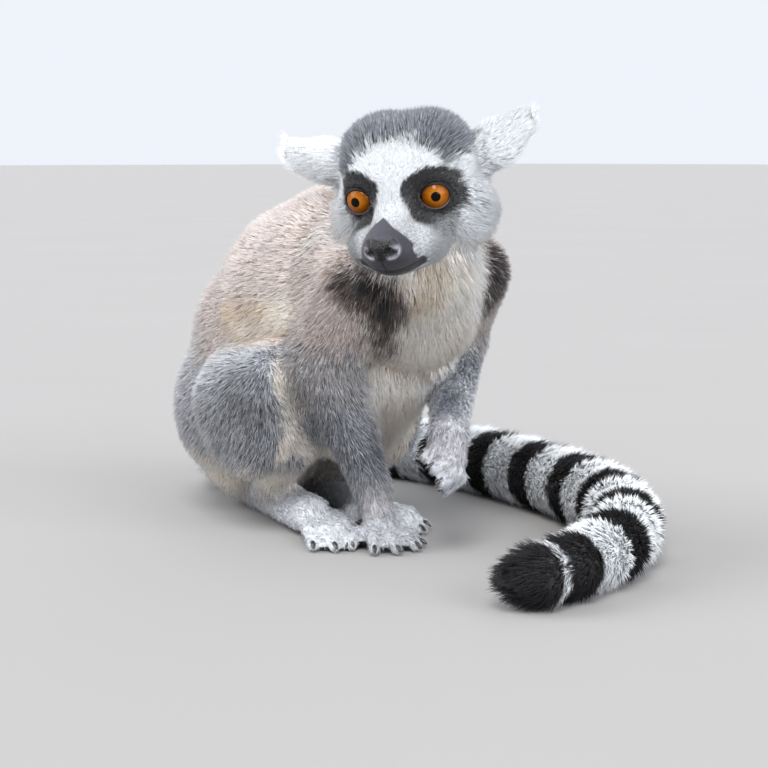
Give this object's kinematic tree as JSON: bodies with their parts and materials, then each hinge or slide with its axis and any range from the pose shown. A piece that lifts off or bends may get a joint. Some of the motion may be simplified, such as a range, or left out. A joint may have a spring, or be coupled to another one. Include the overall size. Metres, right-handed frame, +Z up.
{
  "type": "ring-tailed lemur",
  "caption": "Life-size still figure of a ring-tailed lemur crouched on the floor, head turned, a hand raised, ringed tail laid round it.",
  "frame": {"origin": "on the floor, at the middle of the footprint, tail included", "axes": "+Z up; the trunk points along -Y, so the animal's left is +X; the head is turned about 54 degrees to its right"},
  "size_m": [0.2117, 0.3456, 0.2113],
  "materials": {
    "coat_grey": "short dense grey fur with pale tips",
    "coat_brown": "dense grey-brown fur with pale tips",
    "coat_white": "soft white fur",
    "coat_black": "black fur of the tail rings",
    "eye_amber": "wet, glossy orange eye with a black pupil"
  },
  "bodies": {
    "root": {"chest": "coat_brown", "ear_left": "coat_white", "ear_right": "coat_white", "eye_left": "eye_amber", "eye_right": "eye_amber", "foot_left": "coat_white", "foot_right": "coat_white", "forearm_left": "coat_grey", "forearm_right": "coat_grey", "hand_left": "coat_white", "hand_right": "coat_white", "head": "coat_white", "neck": "coat_grey", "rump": "coat_brown", "shank_left": "coat_grey", "shank_right": "coat_grey", "tail_1": "coat_white", "tail_2": "coat_black", "tail_3": "coat_white", "tail_4": "coat_black", "tail_5": "coat_white", "tail_6": "coat_black", "thigh_left": "coat_grey", "thigh_right": "coat_grey", "upper_arm_left": "coat_brown", "upper_arm_right": "coat_brown"}
  },
  "joints": []
}
